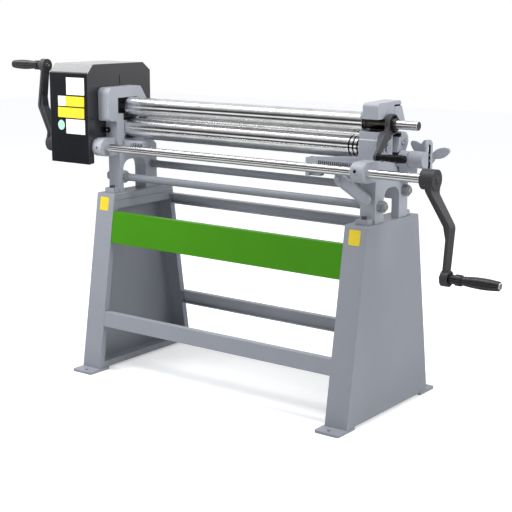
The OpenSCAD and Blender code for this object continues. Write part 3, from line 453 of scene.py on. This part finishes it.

# ---- Guard latch ---------------------------------------------------------------------
# An eight-sided black knob on a zinc-plated screw holds the guard at the left housing. A narrow
# upright slot in the guard's inner panel above it is drawn as a thin matte black strip, painted
# shade of the opening.


def turned(name, start, along, steps, look, body, sides=48, ring=False):
    """A turned piece: a profile of [distance, radius] steps carried round an axis.

    The axis is level and one unit long. A point is the start plus the distance times the
    axis plus the radius times the cosine and sine of the turn in the plane across it. A pole
    closes each end, or the profile itself is closed and makes a ring.
    """
    along = np.array(along, float)
    side = np.cross(along, (0.0, 0.0, 1.0))
    rise = np.cross(along, side)
    turn = np.linspace(0, math.tau, sides, endpoint=False)
    out = np.cos(turn)[:, None] * side + np.sin(turn)[:, None] * rise
    steps = np.array(steps, float)
    rings = (np.array(start, float) + steps[:, 0, None, None] * along
             + steps[:, 1, None, None] * out[None]).reshape(-1, 3)
    poles = np.array(start, float) + steps[[0, -1], 0, None] * along
    near = np.arange(sides)
    far = (near + 1) % sides
    rows = np.arange(len(steps) if ring else len(steps) - 1)[:, None] * sides
    after = (rows + sides) % len(rings)
    wall = np.stack([near + rows, far + rows, far + after, near + after], 2).reshape(-1, 4)
    if ring:
        return new_piece(name, rings, wall.tolist(), look, body)
    first, last = len(rings), len(rings) + 1
    top = (len(steps) - 1) * sides
    caps = np.concatenate([np.stack([far, near, np.full(sides, first)], 1),
                           np.stack([near + top, far + top, np.full(sides, last)], 1)])
    return new_piece(name, np.concatenate([rings, poles]), wall.tolist() + caps.tolist(),
                     look, body)


def plate(name, outline, x0, x1, soften, look, body, slot, upright="X"):
    """A plate across X: an outline of (Y, Z) points from x0 to x1 with softened rims.

    Each rim ring is the outline moved inwards along its own normal, which is the difference
    of the next and the last point turned a right angle; a flat face closes each side. A plate
    across Y has its outline as (-X, Z) and is turned a right angle round Z.
    """
    outline = np.array(outline, float)
    after, before = np.roll(outline, -1, 0), np.roll(outline, 1, 0)
    if (outline[:, 0] * after[:, 1] - after[:, 0] * outline[:, 1]).sum() < 0:
        return plate(name, outline[::-1], x0, x1, soften, look, body, slot, upright)
    run = after - before
    inward = np.stack([-run[:, 1], run[:, 0]], 1) / np.linalg.norm(run, axis=1)[:, None]
    rings = [np.column_stack([np.full(len(outline), x), outline + inward * inset])
             for x, inset in ((x0, soften), (x0 + soften, 0), (x1 - soften, 0), (x1, soften))]
    count = len(outline)
    near = np.arange(count)
    far = (near + 1) % count
    wall = [np.stack([near, far, far + count, near + count], 1) + count * row for row in range(3)]
    faces = np.concatenate(wall).tolist() + [near[::-1].tolist(), (near + 3 * count).tolist()]
    points = np.concatenate(rings)
    if upright == "Y":
        points = np.column_stack([-points[:, 1], points[:, 0], points[:, 2]])
    return new_piece(name, points, faces, look, body)


zinc = Finish("zinc_plate")
zinc_cloud = zinc.noise(45, 4.0)
zinc_look = zinc.done(Base_Color=zinc.mix(zinc_cloud.clamp(0.35, 0.7), (0.30, 0.31, 0.33),
                                          (0.42, 0.43, 0.45)),
                      Metallic=0.6, Roughness=0.38 + zinc_cloud * 0.15,
                      Normal=zinc.bump(zinc.noise(600), 0.08, 0.0003, zinc.rounded(0.0012)))
forwards, outwards = (0, -1, 0), (1, 0, 0)
latch_x, latch_y, latch_z = -0.6165, -0.1302, 0.9665
turned("guard_latch", (latch_x, latch_y, latch_z), forwards,
       [(0, 0.0105), (0.0010, 0.0118), (0.0080, 0.0118), (0.0092, 0.0105), (0.0092, 0.005)],
       powder_look, "frame", sides=8)
turned("guard_latch_pin", (latch_x, latch_y - 0.0091, latch_z), forwards,
       [(0, 0.0042), (0.0030, 0.0042), (0.0038, 0.0036)], zinc_look, "frame")
# Painted shade: a thin matte black strip stands for the panel's slot.
slit_front, slit_back, slit_low, slit_high = -0.0468, -0.0434, 1.1440, 1.1840
panel_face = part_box("guard_inner_panel")[1].x
plate("guard_panel_slit_shade", [(slit_front, slit_low), (slit_back, slit_low), (slit_back, slit_high),
                           (slit_front, slit_high)],
      panel_face, panel_face + 0.0006, 0.0001, powder_look, "frame", "guard_black")

# ---- Right housing -------------------------------------------------------------------
# The same casting, with an open slot for the upper roll's journal and a recess in its head, both
# painted black inside as shade, and a seam in its head painted as a dark joint. Its hub has a small
# oiling boss in front, and a black strip lies in the recess as painted shade.

# Boxes painted black: the slot and the head's recess as shade, the head's seam as a dark joint.
right_slot = ((0.5715, -0.1135, 1.0295), (0.6295, -0.013, 1.0765))
head_recess = ((0.600, -0.010, 1.1145), (0.6303, 0.100, 1.1235))
head_seam = ((0.600, -0.0012, 1.088), (0.632, 0.0004, 1.116))
dress(painted("right_cast_coat", **cast_paint, shade_and_seam_boxes=[right_slot, head_recess, head_seam]),
      "right_housing")
cast_coat = painted("cast_coat", **cast_paint)
boss_x, boss_y, boss_z = 0.6037, -0.2110, 0.9080
turned("right_hub_boss", (boss_x, boss_y, boss_z), forwards,
       [(0, 0.0118), (0.0030, 0.0116), (0.0036, 0.0110), (0.0036, 0.0070), (0.0030, 0.0064)],
       cast_coat, "frame")
turned("right_hub_hole", (boss_x, boss_y - 0.0028, boss_z), forwards,
       [(0, 0.0058), (0.0006, 0.0056), (0.0006, 0.002)], powder_look, "frame")
# Painted shade: a thin black strip in the head's recess.
strip_front, strip_back, strip_low, strip_high = 0.0015, 0.0420, 1.1162, 1.1218
strip_left, strip_right = 0.6172, 0.6290
plate("head_recess_shade_strip", [(strip_front, strip_low), (strip_back, strip_low),
                           (strip_back - 0.002, strip_high), (strip_front, strip_high)],
      strip_left, strip_right, 0.0003, powder_look, "frame", "guard_black")

# ---- Racks ---------------------------------------------------------------------------
# Cast plates below the lower roll, one beside each housing, painted as the castings are. A row of
# teeth points down from each, painted black as shade inside and between the teeth, and a bar lies
# on the right one.

rack_shade = ((0.300, -0.0992, 0.8975), (0.570, -0.0608, 0.9165))
dress(painted("rack_coat", **cast_paint, shade_and_seam_boxes=[rack_shade]), "right_rack_plate")
dress(cast_coat, "left_rack_plate")
right_rack_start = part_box("right_rack_plate")[0].x
left_rack_low, left_rack_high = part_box("left_rack_plate")
bar_start, bar_bend, bar_end, bar_low = 0.366, 0.470, 0.569, 0.9245
bar_front, bar_back = -0.0998, -0.0860
bar = np.array([(bar_start, bar_low), (bar_start, 0.9300), (bar_bend, 0.9375), (bar_end, 0.9445),
                (bar_end, bar_low)])
plate("rack_top_bar", bar * (-1, 1), bar_front, bar_back, 0.001, cast_coat, "frame",
      "cast_paint", upright="Y")
tooth_pitch, gap_low, gap_high = 0.0085, 0.9005, 0.9180
gap_foot, gap_top = 0.36 * tooth_pitch, 0.18 * tooth_pitch
gap_outline = np.array([(-gap_foot, gap_low), (gap_foot, gap_low),
                        (gap_top, gap_high), (-gap_top, gap_high)])
gap_faces = np.array([(0, 1, 2, 3), (7, 6, 5, 4), (0, 4, 5, 1), (1, 5, 6, 2), (2, 6, 7, 3),
                      (3, 7, 4, 0)])  # of a block with eight corners, front first
# Painted shade: thin black blocks on the plates' fronts fill the gaps between the teeth.
for side_name, first, count in (
        ("right", right_rack_start + 0.058, 15),
        ("left", left_rack_high.x - 0.004 - 5 * tooth_pitch, 6)):
    place = first + tooth_pitch * np.arange(count)
    corners = gap_outline + place[:, None, None] * (1, 0)
    points = np.concatenate([np.insert(corners, 1, left_rack_low.y + depth, axis=2)
                             for depth in (-0.0004, 0.0001)], 1)
    new_piece(side_name + "_rack_tooth_gap_shade", points.reshape(-1, 3),
              (gap_faces + 8 * np.arange(count)[:, None, None]).reshape(-1, 4).tolist(),
              powder_look, "frame")

# ---- Lower blocks and swing arms -----------------------------------------------------
# Cast bearings that slide and swing in the housings, painted as they are. Those at the right have a
# cap over the roll's end, marked by a black ring and dot that are painted shade of a groove and a
# dimple, and their gaps are painted black, as shade and as a dark seam.

# Boxes painted black on the right block and arm: the wide gaps as shade, the thin one on the block
# as a dark seam.
block_gaps = [((0.600, -0.060, 1.0005), (0.633, -0.026, 1.030)),
              ((0.600, -0.088, 0.9635), (0.633, -0.068, 0.9665))]
arm_gaps = [((0.560, -0.020, 1.006), (0.633, 0.0515, 1.030)),
            ((0.590, 0.012, 0.930), (0.633, 0.044, 0.9525))]
dress(painted("right_block_coat", **cast_paint, shade_and_seam_boxes=block_gaps), "right_lower_block")
dress(painted("right_arm_coat", **cast_paint, shade_and_seam_boxes=arm_gaps), "right_rear_arm")
dress(cast_coat, "left_lower_block", "left_rear_arm")
axis_at = {joint["name"]: joint.get("pos_m") for joint in frame["joints"]}
lower_axis = axis_at["feeding_roll_spin"]
for cap, body, cap_x, cap_y, cap_z in (
        ("block_cap", "lower_feed", 0.6405, lower_axis[1], lower_axis[2]),
        ("arm_cap", "rear_swing", 0.6312, 0.0691, 0.9901)):
    turned(cap, (cap_x, cap_y, cap_z), outwards,
           [(0, 0.0155), (0.0010, 0.0152), (0.0012, 0.0148), (0.0012, 0.0125)],
           cast_coat, body)
    # Painted shade: a black ring and dot stand for the shade in the cap's groove and dimple.
    mark = (cap_x + 0.0011, cap_y, cap_z)
    turned(cap + "_ring", mark, outwards,
           [(0, 0.0098), (0, 0.0111), (0.0003, 0.0110), (0.0003, 0.0099)],
           powder_look, body, ring=True)
    turned(cap + "_dimple_shade", mark, outwards, [(0, 0.0036), (0.0003, 0.0034), (0.0003, 0.0010)],
           powder_look, body)

# ---- Feed gearbox, knob and paddle ---------------------------------------------------
# A cast gearbox on the right housing turns the rear roll's pivot through a worm. Two zinc-plated
# screws close its front, beside a slot whose inside is painted black as shade.

# Painted shade: the inside of the slot is black.
gearbox_slot = ((0.690, 0.0580, 0.880), (0.7346, 0.0778, 0.990))
dress(painted("gearbox_coat", **cast_paint, shade_and_seam_boxes=[gearbox_slot]), "feed_gearbox")
dress(cast_coat, "feed_knob", "paddle_lever")
screw_x, screw_y = 0.7300, 0.0776
for screw, screw_z in (("upper", 0.9460), ("lower", 0.9260)):
    turned("gearbox_" + screw + "_bolt", (screw_x, screw_y, screw_z), forwards,
           [(0, 0.0048), (0.0034, 0.0048), (0.0040, 0.0042), (0.0040, 0.0022), (0.0020, 0.0020)],
           zinc_look, "frame")

# ---- Tie rods and bolts --------------------------------------------------------------
# Bars between the housings: painted between them, and bright turned steel at the ends
# that pass through, where zinc-plated nuts clamp the housings. Oiled bolts hold their feet.

rod = Finish("rod_coat")
rod_cloud = rod.noise(3.2, 4.0)
bare_from = 0.5425
bare = rod.math("GREATER_THAN", rod.math("ABSOLUTE", rod.place.along("X")), bare_from)
rod_turned = rod.noise(1.0, 2.0, 0.7, stretch=(1400, 6, 6))
rod_paint = rod.mix(rod_cloud.clamp(0.3, 0.7), (0.222, 0.233, 0.262), (0.245, 0.257, 0.288))
rod_look = rod.done(Base_Color=rod.mix(bare, rod_paint, (0.62, 0.62, 0.61)), Metallic=bare,
                    Roughness=0.42 - bare * 0.12 + (rod_cloud - 0.5) * 0.1,
                    Normal=rod.bump(rod_turned, 0.07, 0.0003, rod.rounded(0.001)))
dress(rod_look, "front_tie_rod", "rear_tie_rod", "rear_pivot_shaft")
dress(zinc_look, "tie_rod_nuts")

oiled = Finish("oiled_steel")
oiled_stain = oiled.noise(60, 4.0)
oiled_base = oiled.mix(oiled_stain.clamp(0.35, 0.7), (0.10, 0.10, 0.105), (0.19, 0.19, 0.19))
# Wear and painted highlight: the edges are mixed towards a bright grey.
oiled_base = oiled.mix(oiled.edge(0.0012) * 0.8, oiled_base, (0.42, 0.42, 0.42))
oiled_look = oiled.done(Base_Color=oiled_base, Metallic=0.85, Roughness=0.34 + oiled_stain * 0.2,
                        Normal=oiled.bump(oiled.noise(500), 0.1, 0.0004, oiled.rounded(0.0012)))
dress(oiled_look, "housing_foot_bolts")

# ---- Rolls ---------------------------------------------------------------------------
# Three ground steel bars with their journals. Grinding leaves fine rings round the axis, and oil a
# few soft stains; the wire grooves at the right are painted near black as shade.


def ground_steel(name, shade, roughness, ring_depth, oil_and_shade=()):
    """Bright steel with ground rings, from noise that changes along X alone and spreads light.

    The listed stretches, from one X to another, are rougher and darker, for oil and for painted
    shade.
    """
    steel = Finish(name)
    rings = steel.noise(1.0, 1.0, 0.6, stretch=(650, 0, 0))
    bands = steel.noise(1.0, 2.0, 0.5, stretch=(40, 2, 2))
    stain = steel.noise(14, 3.0)
    tint = steel.mix(stain.clamp(0.4, 0.75), shade, tuple(c * 0.82 for c in shade))
    rough = roughness + (bands - 0.5) * 0.03 + stain.clamp(0.5, 0.8) * 0.05
    # Oil and painted shade: each listed stretch is darker and rougher.
    for start, end, dark in oil_and_shade:
        stretch_mask = steel.inside((start, -1, -1), (end, 1, 2))
        worn = tuple(c * 2.5 for c in dark)
        tint = steel.mix(stretch_mask, tint, steel.mix(stain.clamp(0.4, 0.7), dark, worn))
        rough = rough + stretch_mask * 0.2
    return steel.done(Base_Color=tint, Metallic=1.0, Roughness=rough,
                      Normal=steel.bump(rings, ring_depth, 0.0010))


roll_finish = {"shade": (0.90, 0.90, 0.91), "roughness": 0.11, "ring_depth": 0.6}
# Dark stretches: the upper roll's journal, darker with oil and with painted shade in its slot, then
# its collar and the rim of its end, darker with oil; then the three wire grooves of the lower roll,
# near black as painted shade.
journal_oil_and_shade = [(0.5503, 0.6405, (0.095, 0.080, 0.070)), (0.6605, 0.6718, (0.070, 0.068, 0.070)),
               (0.7562, 0.7600, (0.110, 0.102, 0.095))]
groove_half = 0.003
groove_shade = [(middle - groove_half, middle + groove_half, (0.016, 0.015, 0.014))
              for middle in (0.4995, 0.517, 0.5345)]
dress(ground_steel("roll_steel", **roll_finish), "rear_roll")
dress(ground_steel("top_roll_steel", **roll_finish, oil_and_shade=journal_oil_and_shade), "top_roll")
dress(ground_steel("lower_roll_steel", **roll_finish, oil_and_shade=groove_shade), "lower_roll")

# ---- Drive shaft and gears -----------------------------------------------------------
# A drawn bright shaft from crank to crank, and cut gears under the guard, greased and
# darker than the shaft.

dress(ground_steel("shaft_steel", (0.84, 0.84, 0.85), 0.13, 0.3),
      "drive_shaft", "left_grip_bolt", "right_grip_bolt")
dress(ground_steel("gear_steel", (0.26, 0.25, 0.24), 0.38, 0.1),
      "drive_pinion", "bull_gear", "top_roll_gear", "lower_roll_gear")

# ---- Cranks --------------------------------------------------------------------------
# Two T-section iron arms in black enamel with a slightly pebbled skin, clamped on the
# drive shaft's ends with a washer and a screw. The turned grips are glossier plastic.

black = Finish("black_enamel")
pebble = black.noise(190, 3.0, 0.6)
# Wear and painted highlight: the edges are mixed towards a lighter black.
black_base = black.mix(black.edge(0.002) * 0.5, (0.040, 0.040, 0.044), (0.095, 0.095, 0.10))
black_look = black.done(Base_Color=black_base, Roughness=0.42 + pebble * 0.12,
                        Specular_IOR_Level=0.4,
                        Normal=black.bump(pebble, 0.22, 0.0006, black.rounded(0.002)))
dress(black_look, "left_crank", "right_crank")

grip = Finish("grip_plastic")
grip_skin = grip.noise(120, 2.0)
dress(grip.done(Base_Color=grip.mix(grip_skin.clamp(0.3, 0.7), (0.014, 0.014, 0.016),
                                    (0.022, 0.022, 0.024)),
                Roughness=0.24 + grip_skin * 0.06, Normal=grip.bump(grip_skin, 0.05, 0.0004)),
      "left_grip", "right_grip")

shaft_low, shaft_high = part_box("drive_shaft")
shaft_y = (shaft_low.y + shaft_high.y) / 2
shaft_z = (shaft_low.z + shaft_high.z) / 2
washer_t = 0.0026
for side_name, sign in (("left", -1), ("right", 1)):
    hub_end = shaft_high.x * sign
    turned(side_name + "_hub_washer", (hub_end, shaft_y, shaft_z), (sign, 0, 0),
           [(0, 0.0168), (0.0012, 0.0172), (0.0022, 0.0166), (washer_t, 0.015)],
           black_look, "drive")
    turned(side_name + "_hub_screw", (hub_end + sign * washer_t, shaft_y, shaft_z), (sign, 0, 0),
           [(0, 0.0062), (0.0030, 0.0062), (0.0036, 0.0056), (0.0036, 0.0030), (0.0012, 0.0028)],
           oiled_look, "drive")
bolt_low, bolt_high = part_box("left_grip_bolt")
nut_x = -0.9550
turned("left_grip_nut", (nut_x, (bolt_low.y + bolt_high.y) / 2, (bolt_low.z + bolt_high.z) / 2),
       outwards, [(0, 0.0098), (0.0060, 0.0098), (0.0068, 0.0090), (0.0068, 0.0056),
                  (0.0100, 0.0054), (0.0106, 0.0048)],
       zinc_look, "drive", sides=6)

# ---- Release lever -------------------------------------------------------------------
# A forged lever whose cupped eye sits round the upper roll's journal, and a turned black
# handle on its tip, riveted through. It locks the open slot at the right housing.

lacquer = Finish("black_lacquer")
lacquer_wear = lacquer.noise(70, 3.0)
lacquer_look = lacquer.done(Base_Color=lacquer.mix(lacquer_wear.clamp(0.3, 0.7),
                                                   (0.006, 0.006, 0.007), (0.012, 0.012, 0.013)),
                            Roughness=0.12 + lacquer_wear * 0.04, Specular_IOR_Level=0.12,
                            Normal=lacquer.bump(lacquer_wear, 0.02, 0.0003,
                                                lacquer.rounded(0.001)))
lever_iron = painted("lever_iron", (0.056, 0.054, 0.058), (0.15, 0.15, 0.155), mottle=0.10,
                     peel=190, roughness=0.46, edge_radius=0.0015, gloss=0.35)
eye_y, eye_z = axis_at["release_lever_turn"][1:]
eye_x, eye_t, eye_r, eye_bevel = 0.6415, 0.0185, 0.036, 0.0012
bore_r, cup_r, cup_floor = 0.0166, 0.0295, 0.0035
turned("release_lever_eye", (eye_x, eye_y, eye_z), outwards,
       [(0, bore_r), (0, eye_r - eye_bevel), (eye_bevel, eye_r), (eye_t - eye_bevel, eye_r),
        (eye_t, eye_r - eye_bevel), (eye_t, cup_r + 0.001), (eye_t - 0.001, cup_r),
        (cup_floor, cup_r), (cup_floor, bore_r)],
       lever_iron, "release_body", ring=True)

# The arm's outline along its own length: an arc within the eye, two flanks that narrow as
# a power of what is left of the run, and a half circle round the tip.
reach, tip_r, root_r, flank = 0.146, 0.0135, 0.0325, 2.2
arm_left, arm_right, handle_x = 0.6475, 0.6580, 0.6465
lean = math.radians(225)
root_turn = np.radians(np.linspace(-44, 44, 13))
root = root_r * np.stack([np.cos(root_turn), np.sin(root_turn)], 1)
run = np.linspace(0, 1, 12)[1:-1]
side_u = root[-1, 0] + run * (reach - root[-1, 0])
side_v = tip_r + (root[-1, 1] - tip_r) * (1 - run) ** flank
tip_turn = np.radians(np.linspace(90, -90, 17))
round_tip = np.stack([reach + tip_r * np.cos(tip_turn), tip_r * np.sin(tip_turn)], 1)
outline = np.concatenate([root, np.stack([side_u, side_v], 1), round_tip,
                          np.stack([side_u, -side_v], 1)[::-1]])
arm_y = eye_y + outline[:, 0] * math.cos(lean) - outline[:, 1] * math.sin(lean)
arm_z = eye_z + outline[:, 0] * math.sin(lean) + outline[:, 1] * math.cos(lean)
lever_arm = plate("release_lever_arm", np.stack([arm_y, arm_z], 1), arm_left, arm_right,
                  0.0015, lever_iron, "release_body", "black_iron")
tip = (handle_x, eye_y + reach * math.cos(lean), eye_z + reach * math.sin(lean))
handle = turned("release_lever_handle", tip, outwards,
                [(0, 0.0105), (0.0008, 0.0118), (0.0115, 0.0118), (0.0125, 0.0130),
                 (0.0180, 0.0130), (0.0188, 0.0106), (0.0440, 0.0106), (0.0448, 0.0118),
                 (0.0460, 0.0118), (0.0468, 0.0108), (0.0480, 0.0122), (0.0700, 0.0136),
                 (0.1080, 0.0138), (0.1105, 0.0128), (0.1125, 0.0128), (0.1140, 0.0134),
                 (0.1180, 0.0128), (0.1205, 0.0100), (0.1212, 0.0060)],
                lacquer_look, "release_body")
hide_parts("release_lever")
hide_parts("release_handle")
